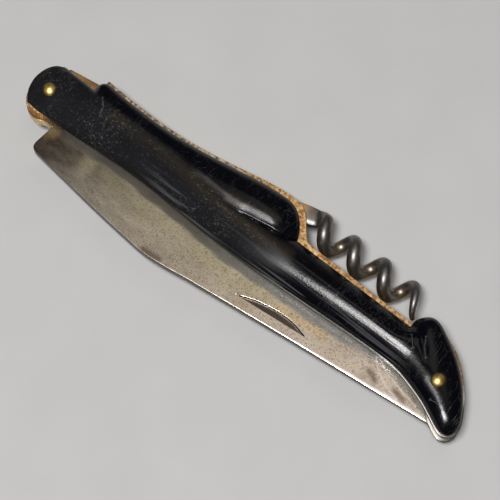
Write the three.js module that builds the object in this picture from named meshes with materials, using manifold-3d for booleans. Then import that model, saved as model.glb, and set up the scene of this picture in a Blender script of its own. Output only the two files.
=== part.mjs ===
// A folding pocket knife with a folding corkscrew in its back, closed and lying on its side.
// Millimetres. +X runs from the blade pivot to the tail, +Y to the corkscrew side, +Z up.
import * as THREE from 'three';
import Module from 'manifold-3d';
import { mergeVertices } from 'three/addons/utils/BufferGeometryUtils.js';

const wasm = await Module();
wasm.setup();

// Layers, from the underside up
const SCALE_THICKNESS = 3.8;
const LINER_THICKNESS = 0.9;
const SLOT_WIDTH = 2.4;
const BACK_LINER_Z = SCALE_THICKNESS;
const SLOT_Z = BACK_LINER_Z + LINER_THICKNESS;
const FRONT_LINER_Z = SLOT_Z + SLOT_WIDTH;
const FRONT_SCALE_Z = FRONT_LINER_Z + LINER_THICKNESS;
const MIDDLE_Z = SLOT_Z + SLOT_WIDTH / 2;

// Pins: where they stand and how thick they are
const BLADE_PIVOT = [-48.4, -1.0];
const TAIL_PIN = [50.2, -1.1];
const CORKSCREW_PIVOT = [4.5, 9.3];
const SPRING_PIN = [16, 4.3];
const RIVET_RADIUS = 1.0;
const HIDDEN_PIN_RADIUS = 0.9;
const HEAD_RADIUS = 1.65;
const HEAD_RISE = 0.7;
const HEAD_SEAT = 2.95;
const HOLE_CLEARANCE = 0.07;
const HEAD_CLEARANCE = 0.1;
const SEAT_GAP = 0.03;

// The moving pieces are a little thinner than the slot that they turn in
const BLADE_THICKNESS = 2.2;
const TANG_THICKNESS = 2.2;
const SPRING_THICKNESS = 2.3;

// The corkscrew's worm is a right-handed helix about a line that nears the handle towards its tip
const WIRE_RADIUS = 1.38;
const WORM_RADIUS = 2.3;
const WORM_PITCH = 7.53;
const WORM_ZERO_X = 19.6;
const WORM_AXIS_Y = 10.62;
const WORM_AXIS_SLOPE = -0.014;
const WORM_LEAN = 0.05;
const WORM_START_TURN = -1.1;
const WORM_JOINED_TURN = -0.92;
const WORM_END_TURN = 2.5;
const WORM_TAPER_TURNS = 0.55;
const WORM_TIP_RADIUS = 0.5;
const WORM_TIP_FLARE = 0.75;
const NECK_START = [9.1, 11.8];
const NECK_END = [11.4, 12.3];
const NECK_RADIUS = 1.45;
const EYE_RADIUS = 2.6;

// Fineness of the faceted curves
const STEPS_PER_SPAN = 2;
const PIN_SEGMENTS = 24;
const WIRE_SIDES = 8;
const WORM_STEPS = 52;

// Outlines are lists of runs, counter-clockwise. Each run is a smooth curve through its points,
// starting where the run before it ended, and runs meet at corners.
const SCALE_OUTLINE = [
  [[-51.1, -5.3]],
  [[-48, -5.5], [-44, -5.25], [-38, -4.85], [-30, -4.35], [-22, -4.1], [-14, -4.35], [-6, -4.75],
    [2, -4.88], [10, -4.75], [18, -4.3], [26, -3.9], [34, -3.55], [39, -3.5], [43, -3.75],
    [47, -4.75], [50.5, -6.0], [53.3, -7.35], [55.2, -8.25], [56.6, -8.6], [57.9, -8.1],
    [58.6, -6.7], [58.4, -4.8], [57.2, -2.4], [55.1, 0.6], [52.4, 3.4], [49.4, 5.75],
    [46.2, 7.7], [43.6, 8.95], [41.9, 9.0], [40.75, 8.3], [39.85, 7.2], [39.5, 6.1], [39.5, 4.8]],
  [[30, 4.85], [20, 4.95], [11.3, 5.05]],
  [[10.8, 6.3], [10.0, 7.6], [8.9, 8.9], [7.3, 10.2], [5.2, 11.0], [2, 10.98], [-2, 10.6],
    [-8, 9.6], [-14, 8.65], [-20, 7.9], [-26, 7.55], [-32, 7.55], [-37, 7.75], [-39.8, 7.95],
    [-41.1, 7.75], [-41.8, 6.95], [-41.9, 6.1]],
  [[-41.9, 5.15]],
  [[-50.2, 5.3]],
  [[-51.7, 4.5], [-52.9, 2.6], [-53.4, 0], [-53.0, -2.4], [-52.2, -4.0], [-51.1, -5.3]],
];

const LINER_OUTLINE = [
  [[-50.9, -5.95]],
  [[-48.6, -5.95], [-46.4, -5.5], [-44, -5.28], [-38, -4.88], [-30, -4.38], [-22, -4.13],
    [-14, -4.38], [-6, -4.78], [2, -4.91], [10, -4.79], [18, -4.36], [26, -3.96], [34, -3.62],
    [39, -3.6], [43, -3.88],
    [47, -4.9], [50.5, -6.15], [53.3, -7.55], [55.2, -8.5], [56.7, -8.9], [58.1, -8.3],
    [58.9, -6.8], [58.75, -4.9], [57.6, -2.4], [55.55, 0.8], [52.85, 3.75], [49.8, 6.25],
    [46.35, 7.95], [43.65, 9.07], [41.85, 9.1], [40.67, 8.38], [39.75, 7.25], [39.4, 6.3],
    [39.35, 5.85]],
  [[35, 5.9], [25, 6.1], [15, 6.35], [13.2, 6.55], [12.3, 7.1], [11.3, 8.2], [10.2, 9.6],
    [9.0, 10.9], [7.5, 11.9], [5.6, 12.35], [2, 12.2], [-2, 11.7], [-8, 10.55], [-14, 9.5],
    [-20, 8.75], [-26, 8.4], [-32, 8.42], [-37, 8.6], [-41.2, 8.9]],
  [[-41.6, 5.65]],
  [[-50.6, 5.7]],
  [[-51.9, 4.55], [-53.0, 2.6], [-53.4, 0], [-53.1, -2.4], [-52.35, -4.4], [-50.9, -5.95]],
];

const SPRING_OUTLINE = [
  [[-45.3, 3.5]],
  [[-44, 3.5]],
  [[-34, 4.4], [-20, 4.6], [-8, 4.2], [2, 3.4], [12, 2.8], [25, 2.3], [36, 1.5], [43, -0.4],
    [49, -3.2], [53, -5.1], [55.9, -6.6]],
  [[58.3, -6.2]],
  [[58.45, -4.8], [57.35, -2.5], [55.35, 0.65], [52.65, 3.55], [49.6, 6.05], [46.25, 7.75],
    [43.6, 8.85], [42.0, 8.85], [41.0, 8.15], [40.1, 7.1], [39.7, 6.3], [39.6, 5.75]],
  [[30, 5.85], [20, 6.05], [13, 6.3], [1.1, 6.3]],
  [[1.1, 9.2]],
  [[0.45, 11.8]],
  [[-2, 11.5], [-8, 10.4], [-14, 9.35], [-20, 8.6], [-26, 8.25], [-32, 8.27], [-37, 8.45],
    [-41.4, 8.75]],
  [[-42.2, 7.4]],
  [[-49.7, 6.35]],
  [[-50.2, 5.2]],
  [[-45.4, 5.2]],
  [[-45.3, 3.5]],
];

const BLADE_OUTLINE = [
  [[-51.6, -5.0]],
  [[-50.9, -6.0], [-49.7, -6.65], [-48.3, -6.9], [-47.2, -6.7], [-46.3, -6.3], [-45.2, -6.12],
    [-43.9, -6.1]],
  [[-44.3, -10.6]],
  [[-44.15, -11.55], [-43.5, -12.2], [-42.4, -12.42]],
  [[-35, -13.27], [-25, -14.42], [-15, -15.33], [-11, -15.5], [-7, -15.15], [-2, -14.4]],
  [[10, -12.93], [24, -11.27], [38, -9.72], [53.1, -8.0]],
  [[50.5, -5.6], [46, -3.6], [38, -1.7], [28, -0.5], [15, 0.1], [0, 0.3], [-20, 0.2],
    [-38.6, 0]],
  [[-39.2, 0.9], [-40.4, 0.9]],
  [[-41, 2.9]],
  [[-47.3, 2.95]],
  [[-48.4, 3.1], [-50.45, 2.55], [-51.95, 1.05], [-52.5, -1.0], [-52.55, -2.6],
    [-52.25, -4.0], [-51.6, -5.0]],
];

const NAIL_NICK = [
  [[8.0, -10.8]],
  [[24.9, -9.15]],
  [[21.9, -8.3], [18.8, -8.05], [12.5, -9.05], [8.0, -10.8]],
];

const TANG_PLATE = [
  [[6.1, 7.25]],
  [[10.4, 10.95]],
  [[10.9, 13.9]],
  [[8.6, 13.45], [5.0, 12.35], [3.2, 11.55]],
];

// How far each scale's wall has leaned in, and how high it stands there
const SCALE_LEVELS = [[0, 0], [0, 1.3], [0.45, 2.4], [1.1, 3.3], [1.8, SCALE_THICKNESS]];
const SCALE_END_SLOPE_DEG = 4;
const NOSE_SLOPE_X = -41;
const TAIL_SLOPE_X = 41;

// The blade is ground thinner from a line near its back down to its edge
const GRIND_START_X = -33;
const GRIND_BACK_Y = -12;
const GRIND_EDGE_Y = 0.6;
const EDGE_THICKNESS = 0.3;
const NICK_DEPTH = 0.45;

const MATERIALS = {
  horn: { color: 0x14141a, roughness: 0.3, metalness: 0 },
  brass: { color: 0xb98b4a, roughness: 0.4, metalness: 1 },
  steel: { color: 0x8d857a, roughness: 0.35, metalness: 1 },
  dark_steel: { color: 0x5a544c, roughness: 0.3, metalness: 1 },
};

// ---------------------------------------------------------------- shapes and solids

function shapeFrom(runs) {
  const shape = new THREE.Shape();
  shape.moveTo(...runs[0][0]);
  for (const run of runs.slice(1)) {
    const points = run.map(([x, y]) => new THREE.Vector2(x, y));
    if (points.length === 1) shape.lineTo(points[0].x, points[0].y);
    else shape.splineThru(points);
  }
  return shape;
}

function withHoles(shape, holes) {
  for (const [[x, y], radius] of holes) {
    const hole = new THREE.Path();
    for (let i = 0; i <= PIN_SEGMENTS; i += 1) {
      const angle = (-2 * Math.PI * i) / PIN_SEGMENTS;
      const point = [x + radius * Math.cos(angle), y + radius * Math.sin(angle)];
      if (i === 0) hole.moveTo(...point);
      else hole.lineTo(...point);
    }
    shape.holes.push(hole);
  }
  return shape;
}

function slab(shape, bottom, thickness) {
  const options = { depth: thickness, bevelEnabled: false, curveSegments: STEPS_PER_SPAN };
  return new THREE.ExtrudeGeometry(shape, options).translate(0, 0, bottom);
}

function cylinder([x, y], radius, bottom, top) {
  const body = new THREE.CylinderGeometry(radius, radius, top - bottom, PIN_SEGMENTS);
  return body.rotateX(Math.PI / 2).translate(x, y, (bottom + top) / 2);
}

function solidFrom(geometry) {
  const bare = geometry.clone();
  bare.deleteAttribute('normal');
  bare.deleteAttribute('uv');
  const merged = mergeVertices(bare, 1e-4);
  return new wasm.Manifold(new wasm.Mesh({
    numProp: 3,
    vertProperties: merged.attributes.position.array,
    triVerts: Uint32Array.from(merged.index.array),
  }));
}

function geometryFrom(solid) {
  const mesh = solid.getMesh();
  const geometry = new THREE.BufferGeometry();
  geometry.setAttribute('position', new THREE.BufferAttribute(mesh.vertProperties, 3));
  geometry.setIndex(new THREE.BufferAttribute(mesh.triVerts, 1));
  return geometry;
}

function cut(geometry, tools) {
  let solid = solidFrom(geometry);
  for (const tool of tools) solid = solid.subtract(solidFrom(tool));
  return geometryFrom(solid);
}

// Rings of one outline, each moved in along its corners' inward normals and joined to the next
function steppedSolid(shape, levels) {
  const ring = shape.getPoints(STEPS_PER_SPAN);
  if (ring[0].distanceTo(ring[ring.length - 1]) < 1e-6) ring.pop();
  const count = ring.length;
  const inward = ring.map((point, i) => {
    const before = new THREE.Vector2().subVectors(point, ring[(i + count - 1) % count]).normalize();
    const after = new THREE.Vector2().subVectors(ring[(i + 1) % count], point).normalize();
    const along = new THREE.Vector2().addVectors(before, after).normalize();
    const reach = 1 / Math.max(0.6, along.dot(after));
    return new THREE.Vector2(-along.y, along.x).multiplyScalar(reach);
  });
  const vertices = [];
  const faces = [];
  for (const [inset, height] of levels) {
    ring.forEach((point, i) => {
      vertices.push(point.x + inward[i].x * inset, point.y + inward[i].y * inset, height);
    });
  }
  for (let level = 0; level + 1 < levels.length; level += 1) {
    for (let i = 0; i < count; i += 1) {
      const a = level * count + i;
      const b = level * count + ((i + 1) % count);
      faces.push(a, b, b + count, a, b + count, a + count);
    }
  }
  const top = (levels.length - 1) * count;
  for (const [a, b, c] of THREE.ShapeUtils.triangulateShape(ring, [])) {
    faces.push(c, b, a);
    faces.push(top + a, top + b, top + c);
  }
  const geometry = new THREE.BufferGeometry();
  geometry.setAttribute('position', new THREE.Float32BufferAttribute(vertices, 3));
  geometry.setIndex(faces);
  return geometry;
}

// The same solid on the other side of the knife's middle plane
function mirrored(geometry) {
  const copy = geometry.clone().scale(1, 1, -1).translate(0, 0, 2 * MIDDLE_Z);
  const index = copy.index.array;
  for (let i = 0; i < index.length; i += 3) {
    [index[i], index[i + 1]] = [index[i + 1], index[i]];
  }
  return copy;
}

// A closed tube along a curve whose radius changes on the way
function taperedTube(curve, steps, sides, radiusAt) {
  const frames = curve.computeFrenetFrames(steps, false);
  const vertices = [];
  const faces = [];
  for (let i = 0; i <= steps; i += 1) {
    const center = curve.getPointAt(i / steps);
    for (let k = 0; k < sides; k += 1) {
      const angle = (2 * Math.PI * (k + 0.5)) / sides;
      const point = center.clone()
        .addScaledVector(frames.normals[i], radiusAt(i / steps) * Math.cos(angle))
        .addScaledVector(frames.binormals[i], radiusAt(i / steps) * Math.sin(angle));
      vertices.push(point.x, point.y, point.z);
    }
  }
  for (let i = 0; i < steps; i += 1) {
    for (let k = 0; k < sides; k += 1) {
      const a = i * sides + k;
      const b = i * sides + ((k + 1) % sides);
      faces.push(a, b, b + sides, a, b + sides, a + sides);
    }
  }
  const last = steps * sides;
  for (let k = 1; k + 1 < sides; k += 1) {
    faces.push(0, k + 1, k);
    faces.push(last, last + k, last + k + 1);
  }
  const geometry = new THREE.BufferGeometry();
  geometry.setAttribute('position', new THREE.Float32BufferAttribute(vertices, 3));
  geometry.setIndex(faces);
  return geometry;
}

// ---------------------------------------------------------------- the knife's pieces

// A large block that lies above a plane sloping down from x at the crest's height, to one side
function slopeCutter(x, side) {
  const size = 60;
  const block = new THREE.BoxGeometry(size, size, size);
  block.translate((side * size) / 2, 0, size / 2);
  block.rotateY(side * THREE.MathUtils.degToRad(SCALE_END_SLOPE_DEG));
  return block.translate(x, 0, FRONT_SCALE_Z + SCALE_THICKNESS);
}

function frontScale() {
  const blank = steppedSolid(shapeFrom(SCALE_OUTLINE), SCALE_LEVELS);
  blank.translate(0, 0, FRONT_SCALE_Z);
  const cutters = [slopeCutter(NOSE_SLOPE_X, -1), slopeCutter(TAIL_SLOPE_X, 1)];
  const above = FRONT_SCALE_Z + SCALE_THICKNESS + 1;
  for (const place of [BLADE_PIVOT, TAIL_PIN]) {
    const seat = FRONT_SCALE_Z + HEAD_SEAT;
    cutters.push(cylinder(place, RIVET_RADIUS + HOLE_CLEARANCE, FRONT_SCALE_Z - 1, above));
    cutters.push(cylinder(place, HEAD_RADIUS + HEAD_CLEARANCE, seat, above));
  }
  return cut(blank, cutters);
}

function liner(bottom) {
  const holes = [
    [BLADE_PIVOT, RIVET_RADIUS + HOLE_CLEARANCE],
    [TAIL_PIN, RIVET_RADIUS + HOLE_CLEARANCE],
    [CORKSCREW_PIVOT, HIDDEN_PIN_RADIUS + HOLE_CLEARANCE],
    [SPRING_PIN, HIDDEN_PIN_RADIUS + HOLE_CLEARANCE],
  ];
  return slab(withHoles(shapeFrom(LINER_OUTLINE), holes), bottom, LINER_THICKNESS);
}

function backSpring() {
  const holes = [
    [TAIL_PIN, RIVET_RADIUS + HOLE_CLEARANCE],
    [SPRING_PIN, HIDDEN_PIN_RADIUS + HOLE_CLEARANCE],
  ];
  const shape = withHoles(shapeFrom(SPRING_OUTLINE), holes);
  return slab(shape, MIDDLE_Z - SPRING_THICKNESS / 2, SPRING_THICKNESS);
}

// A wedge taken off one face of the blade, thickest over the cutting edge
function grindCutter(face) {
  const section = new THREE.Shape([
    new THREE.Vector2(GRIND_BACK_Y, (face * BLADE_THICKNESS) / 2),
    new THREE.Vector2(GRIND_EDGE_Y, (face * EDGE_THICKNESS) / 2),
    new THREE.Vector2(GRIND_EDGE_Y, face * BLADE_THICKNESS),
    new THREE.Vector2(GRIND_BACK_Y, face * BLADE_THICKNESS),
  ]);
  const wedge = new THREE.ExtrudeGeometry(section, { depth: 100, bevelEnabled: false });
  const toAcross = new THREE.Matrix4().makeBasis(
    new THREE.Vector3(0, 1, 0),
    new THREE.Vector3(0, 0, 1),
    new THREE.Vector3(1, 0, 0),
  );
  return wedge.applyMatrix4(toAcross).translate(GRIND_START_X, 0, MIDDLE_Z);
}

function blade() {
  const shape = withHoles(shapeFrom(BLADE_OUTLINE), [[BLADE_PIVOT, RIVET_RADIUS + HOLE_CLEARANCE]]);
  const blank = slab(shape, MIDDLE_Z - BLADE_THICKNESS / 2, BLADE_THICKNESS);
  const nick = slab(shapeFrom(NAIL_NICK), MIDDLE_Z + BLADE_THICKNESS / 2 - NICK_DEPTH, 2);
  return cut(blank, [grindCutter(1), grindCutter(-1), nick]);
}

// The wire's middle line: straight out of the neck, then round and round towards the tip
class WormLine extends THREE.Curve {
  getPoint(t, target = new THREE.Vector3()) {
    const turn = THREE.MathUtils.lerp(WORM_START_TURN, WORM_END_TURN, t);
    const angle = 2 * Math.PI * turn;
    const x = WORM_ZERO_X + WORM_PITCH * turn - WORM_LEAN * Math.cos(angle);
    const toTip = THREE.MathUtils.smoothstep(turn, WORM_END_TURN - 0.4, WORM_END_TURN);
    const radius = WORM_RADIUS + WORM_TIP_FLARE * toTip;
    const axisY = WORM_AXIS_Y + WORM_AXIS_SLOPE * (x - WORM_ZERO_X);
    const coil = new THREE.Vector3(
      x,
      axisY + radius * Math.cos(angle),
      MIDDLE_Z + radius * Math.sin(angle),
    );
    const along = (turn - WORM_START_TURN) / (WORM_JOINED_TURN - WORM_START_TURN);
    const neck = new THREE.Vector3(
      THREE.MathUtils.lerp(NECK_START[0], NECK_END[0], along),
      THREE.MathUtils.lerp(NECK_START[1], NECK_END[1], along),
      MIDDLE_Z,
    );
    const joined = THREE.MathUtils.smoothstep(along, 0.2, 1.3);
    return target.lerpVectors(neck, coil, joined);
  }
}

function wireRadius(t) {
  const turn = THREE.MathUtils.lerp(WORM_START_TURN, WORM_END_TURN, t);
  const toCoil = THREE.MathUtils.smoothstep(turn, WORM_START_TURN, WORM_JOINED_TURN);
  const toTip = THREE.MathUtils.clamp((turn - WORM_END_TURN) / WORM_TAPER_TURNS + 1, 0, 1);
  const full = THREE.MathUtils.lerp(NECK_RADIUS, WIRE_RADIUS, toCoil);
  return THREE.MathUtils.lerp(full, WORM_TIP_RADIUS, toTip);
}

function corkscrew() {
  const bottom = MIDDLE_Z - TANG_THICKNESS / 2;
  const top = MIDDLE_Z + TANG_THICKNESS / 2;
  const worm = taperedTube(new WormLine(), WORM_STEPS, WIRE_SIDES, wireRadius);
  const tang = solidFrom(cylinder(CORKSCREW_PIVOT, EYE_RADIUS, bottom, top))
    .add(solidFrom(slab(shapeFrom(TANG_PLATE), bottom, TANG_THICKNESS)))
    .subtract(solidFrom(
      cylinder(CORKSCREW_PIVOT, HIDDEN_PIN_RADIUS + HOLE_CLEARANCE, bottom - 1, top + 1),
    ));
  return geometryFrom(tang.add(solidFrom(worm)));
}

// A straight pin with a domed head on each end, standing on the scales' sunk seats
function rivet([x, y]) {
  const half = FRONT_SCALE_Z + HEAD_SEAT + SEAT_GAP - MIDDLE_Z;
  const profile = [];
  const domeSteps = 4;
  for (let i = 0; i <= domeSteps; i += 1) {
    const angle = (Math.PI / 2) * (i / domeSteps);
    profile.push([HEAD_RADIUS * Math.sin(angle), -half - HEAD_RISE * Math.cos(angle)]);
  }
  profile.push([RIVET_RADIUS, -half]);
  const points = profile.map(([r, z]) => new THREE.Vector2(r, z));
  const other = profile.map(([r, z]) => new THREE.Vector2(r, -z)).reverse();
  const pin = new THREE.LatheGeometry([...points, ...other], PIN_SEGMENTS);
  return pin.rotateX(Math.PI / 2).rotateZ(Math.PI / 2).translate(x, y, MIDDLE_Z);
}

// A short pin riveted flush into the two liners, under the scales
function hiddenPin(place) {
  return cylinder(place, HIDDEN_PIN_RADIUS, BACK_LINER_Z, FRONT_SCALE_Z);
}

function mesh(name, geometry, finish) {
  const piece = new THREE.Mesh(geometry, new THREE.MeshStandardMaterial(MATERIALS[finish]));
  piece.name = name;
  return piece;
}

const front = frontScale();
const group = new THREE.Group();
group.add(
  mesh('front_scale', front, 'horn'),
  mesh('back_scale', mirrored(front), 'horn'),
  mesh('front_liner', liner(FRONT_LINER_Z), 'brass'),
  mesh('back_liner', liner(BACK_LINER_Z), 'brass'),
  mesh('back_spring', backSpring(), 'dark_steel'),
  mesh('blade', blade(), 'steel'),
  mesh('corkscrew', corkscrew(), 'dark_steel'),
  mesh('blade_pivot_pin', rivet(BLADE_PIVOT), 'brass'),
  mesh('tail_pin', rivet(TAIL_PIN), 'brass'),
  mesh('corkscrew_pivot_pin', hiddenPin(CORKSCREW_PIVOT), 'dark_steel'),
  mesh('spring_pin', hiddenPin(SPRING_PIN), 'dark_steel'),
);

// The origin is the middle of the knife's footprint, on the surface that it lies on
const box = new THREE.Box3().setFromObject(group);
const middle = box.getCenter(new THREE.Vector3());
group.position.set(-middle.x, -middle.y, -box.min.z);

export default group;
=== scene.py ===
"""A folding pocket knife with a folding corkscrew, closed and lying on its side on a pale floor.

Shapes are written in millimetres in the knife's own frame: +X runs from the blade's pivot to the
tail, +Y is the corkscrew's side and z 0 is the floor.
"""

import math

import bmesh
import bpy
import numpy as np
from mathutils import Matrix, Vector
from mathutils.geometry import delaunay_2d_cdt


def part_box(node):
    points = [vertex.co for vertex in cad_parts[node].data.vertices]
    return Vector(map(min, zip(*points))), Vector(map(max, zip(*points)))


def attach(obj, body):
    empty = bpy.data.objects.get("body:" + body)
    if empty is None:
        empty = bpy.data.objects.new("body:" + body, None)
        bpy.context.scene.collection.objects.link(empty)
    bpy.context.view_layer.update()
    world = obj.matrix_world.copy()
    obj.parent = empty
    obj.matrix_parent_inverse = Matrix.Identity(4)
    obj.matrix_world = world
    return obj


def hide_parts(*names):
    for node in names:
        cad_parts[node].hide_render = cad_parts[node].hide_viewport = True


# ---------------------------------------------------------------- measures

MM = 0.001
MIDDLE_Z = 5.9
FRONT_LINER_Z = 7.1
FRONT_SCALE_Z = 8.0
LINER_THICKNESS = 0.9
SPRING_THICKNESS = 2.3
BLADE_THICKNESS = 2.2
TANG_THICKNESS = 2.2
LINER_EDGE = 0.14
SPRING_EDGE = 0.2
TANG_EDGE = 0.22
BLADE_EDGE = 0.1

BLADE_PIVOT = (-48.4, -1.0)
TAIL_PIN = (50.2, -1.1)
CORKSCREW_PIVOT = (4.5, 9.3)
SPRING_PIN = (16.0, 4.3)
RIVET_RADIUS = 1.0
HIDDEN_PIN_RADIUS = 0.9
HIDDEN_PIN_CHAMFER = (0.15, 0.12)
HOLE_CLEARANCE = 0.05
HEAD_RADIUS = 1.65
HEAD_RISE = 0.7
HEAD_SUNK = 0.12

# Points of the horn scale's outline where one of its sides ends and the next begins
NOSE_LOW = (-51.1, -5.3)
NOSE_HIGH = (-50.2, 5.3)
LOBE_START = (-20, 7.9)
LOBE_END = (11.3, 5.05)
TAIL_TIP = (57.9, -8.1)

# Each outline is a list of runs, counter-clockwise: a straight line to its one point, or a
# smooth curve through its points. Each run starts where the one before it ended.
SCALE_OUTLINE = [
    [NOSE_LOW],
    [(-48, -5.5), (-44, -5.25), (-38, -4.85), (-30, -4.35), (-22, -4.1), (-14, -4.35),
     (-6, -4.75), (2, -4.88), (10, -4.75), (18, -4.3), (26, -3.9), (34, -3.55), (39, -3.5),
     (43, -3.75), (47, -4.75), (50.5, -6.0), (53.3, -7.35), (55.2, -8.25), (56.6, -8.6),
     TAIL_TIP, (58.6, -6.7), (58.4, -4.8), (57.2, -2.4), (55.1, 0.6), (52.4, 3.4),
     (49.4, 5.75), (46.2, 7.7), (43.6, 8.95), (41.9, 9.0), (40.75, 8.3), (39.85, 7.2),
     (39.5, 6.1), (39.5, 4.8)],
    [(30, 4.85), (20, 4.95), LOBE_END],
    [(10.8, 6.3), (10.0, 7.6), (8.9, 8.9), (7.3, 10.2), (5.2, 11.0), (2, 10.98), (-2, 10.6),
     (-8, 9.6), (-14, 8.65), LOBE_START, (-26, 7.55), (-32, 7.55), (-37, 7.75), (-39.8, 7.95),
     (-41.1, 7.75), (-41.8, 6.95), (-41.9, 6.1)],
    [(-41.9, 5.15)],
    [NOSE_HIGH],
    [(-51.7, 4.5), (-52.9, 2.6), (-53.4, 0), (-53.0, -2.4), (-52.2, -4.0), NOSE_LOW],
]

LINER_OUTLINE = [
    [(-50.9, -5.95)],
    [(-48.6, -5.95), (-46.4, -5.5), (-44, -5.28), (-38, -4.88), (-30, -4.38), (-22, -4.13),
     (-14, -4.38), (-6, -4.78), (2, -4.91), (10, -4.79), (18, -4.36), (26, -3.96), (34, -3.62),
     (39, -3.6), (43, -3.88), (47, -4.9), (50.5, -6.15), (53.3, -7.55), (55.2, -8.5), (56.7, -8.9),
     (58.1, -8.3), (58.9, -6.8), (58.75, -4.9), (57.6, -2.4), (55.55, 0.8), (52.85, 3.75),
     (49.8, 6.25), (46.35, 7.95), (43.65, 9.07), (41.85, 9.1), (40.67, 8.38), (39.75, 7.25),
     (39.4, 6.3), (39.35, 5.85)],
    [(35, 5.9), (25, 6.1), (15, 6.35), (13.2, 6.55), (12.3, 7.1), (11.3, 8.2), (10.2, 9.6),
     (9.0, 10.9), (7.5, 11.9), (5.6, 12.35), (2, 12.2), (-2, 11.7), (-8, 10.55), (-14, 9.5),
     (-20, 8.75), (-26, 8.4), (-32, 8.42), (-37, 8.6), (-41.2, 8.9)],
    [(-41.6, 5.65)],
    [(-50.6, 5.7)],
    [(-51.9, 4.55), (-53.0, 2.6), (-53.4, 0), (-53.1, -2.4), (-52.35, -4.4), (-50.9, -5.95)],
]

SPRING_OUTLINE = [
    [(-45.3, 3.5)],
    [(-44, 3.5)],
    [(-34, 4.4), (-20, 4.6), (-8, 4.2), (2, 3.4), (12, 2.8), (25, 2.3), (36, 1.5), (43, -0.4),
     (49, -3.2), (53, -5.1), (55.9, -6.6)],
    [(58.3, -6.2)],
    [(58.45, -4.8), (57.35, -2.5), (55.35, 0.65), (52.65, 3.55), (49.6, 6.05), (46.25, 7.75),
     (43.6, 8.85), (42.0, 8.85), (41.0, 8.15), (40.1, 7.1), (39.7, 6.3), (39.6, 5.75)],
    [(30, 5.85), (20, 6.05), (13, 6.3), (1.1, 6.3)],
    [(1.1, 9.2)],
    [(0.45, 11.8)],
    [(-2, 11.5), (-8, 10.4), (-14, 9.35), (-20, 8.6), (-26, 8.25), (-32, 8.27), (-37, 8.45),
     (-41.4, 8.75)],
    [(-42.2, 7.4)],
    [(-49.7, 6.35)],
    [(-50.2, 5.2)],
    [(-45.4, 5.2)],
    [(-45.3, 3.5)],
]

SPINE_START = (-42.4, -12.42)
BLADE_TIP = (53.1, -8.0)
BLADE_OUTLINE = [
    [(-51.6, -5.0)],
    [(-50.9, -6.0), (-49.7, -6.65), (-48.3, -6.9), (-47.2, -6.7), (-46.3, -6.3), (-45.2, -6.12),
     (-43.9, -6.1)],
    [(-44.3, -10.6)],
    [(-44.15, -11.55), (-43.5, -12.2), SPINE_START],
    [(-35, -13.27), (-25, -14.42), (-15, -15.33), (-11, -15.5), (-7, -15.15), (-2, -14.4)],
    [(10, -12.93), (24, -11.27), (38, -9.72), BLADE_TIP],
    [(50.5, -5.6), (46, -3.6), (38, -1.7), (28, -0.5), (15, 0.1), (0, 0.3), (-20, 0.2),
     (-38.6, 0)],
    [(-39.2, 0.9), (-40.4, 0.9)],
    [(-41, 2.9)],
    [(-47.3, 2.95)],
    [(-48.4, 3.1), (-50.45, 2.55), (-51.95, 1.05), (-52.5, -1.0), (-52.55, -2.6),
     (-52.25, -4.0), (-51.6, -5.0)],
]

NAIL_NICK = [
    [(8.0, -10.8)],
    [(24.9, -9.15)],
    [(21.9, -8.3), (18.8, -8.05), (15.5, -8.4), (12.5, -9.05), (10.1, -9.9), (8.0, -10.8)],
]

# The blade's spine as two straight lines, and the bevel filed along it, wider towards the tip
SPINE_X = (-44, -11, 53)
SPINE_Y = (-12.2, -15.5, -8.0)
BEVEL_X = (-12, 0, 12, 30, 47, 53)
BEVEL_WIDTH = (0.12, 0.2, 0.4, 1.0, 1.8, 1.2)
BEVEL_SLOPE = 0.11
EDGE_THICKNESS = 0.3
TIP_THINNING = 0.3
NICK_DEPTH = 0.35
MARK_WIDTH = 0.07

TANG_OUTLINE = [
    [(6.6, 7.75)],
    [(10.4, 10.95)],
    [(10.9, 13.9)],
    [(8.6, 13.45), (5.0, 12.35), (3.3, 11.6)],
    [(2.35, 10.8), (1.9, 9.3), (2.7, 7.4), (4.5, 6.7), (5.7, 6.98), (6.6, 7.75)],
]

# The corkscrew's wire is a right-handed helix about a line beside the handle
WIRE_RADIUS = 1.38
WORM_RADIUS = 2.3
WORM_PITCH = 7.53
WORM_ZERO_X = 19.6
WORM_AXIS_Y = 10.62
WORM_AXIS_SLOPE = -0.014
WORM_LEAN = 0.05
WORM_START_TURN = -1.1
WORM_JOINED_TURN = -0.92
WORM_END_TURN = 2.5
WORM_TAPER_TURNS = 0.55
WORM_TIP_RADIUS = 0.5
WORM_TIP_FLARE = 0.75
NECK_START = (9.0, 11.5)
NECK_END = (11.4, 12.0)
NECK_RADIUS = 1.45
NECK_ROUND_TURNS = (-1.02, -0.78)
NECK_FLATTENED = 0.2
NECK_WIDENED = 0.3

# The horn: a low wall at its outline, then a crown whose height changes along the handle
HORN_WALL = 0.7
CREST_X = (-54, -41, -22, 2, 14, 38, 48, 59)
CREST_Z = (3.15, 3.35, 3.65, 3.68, 3.6, 3.5, 3.35, 3.0)
NOSE_SIDE_WIDTH = 6.0
RIM_LEDGE = 0.1

# How each side rises to the crest, at places along the handle: x, width and how bulging it is
LOW_SIDE = (
    (-50, 6.0, 2.0), (-30, 8.0, 2.0), (-5, 7.0, 2.0), (8, 5.5, 1.75), (43, 5.4, 1.75),
    (48, 5.0, 2.0), (55, 5.2, 2.0),
)
HIGH_SIDE = (
    (-50, 6.0, 2.0), (-40, 5.2, 1.5), (-10, 5.2, 1.5), (-2, 4.2, 1.2), (38, 4.2, 1.2),
    (44, 4.4, 2.0), (50, 6.5, 2.0), (56, 5.0, 2.0),
)

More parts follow.
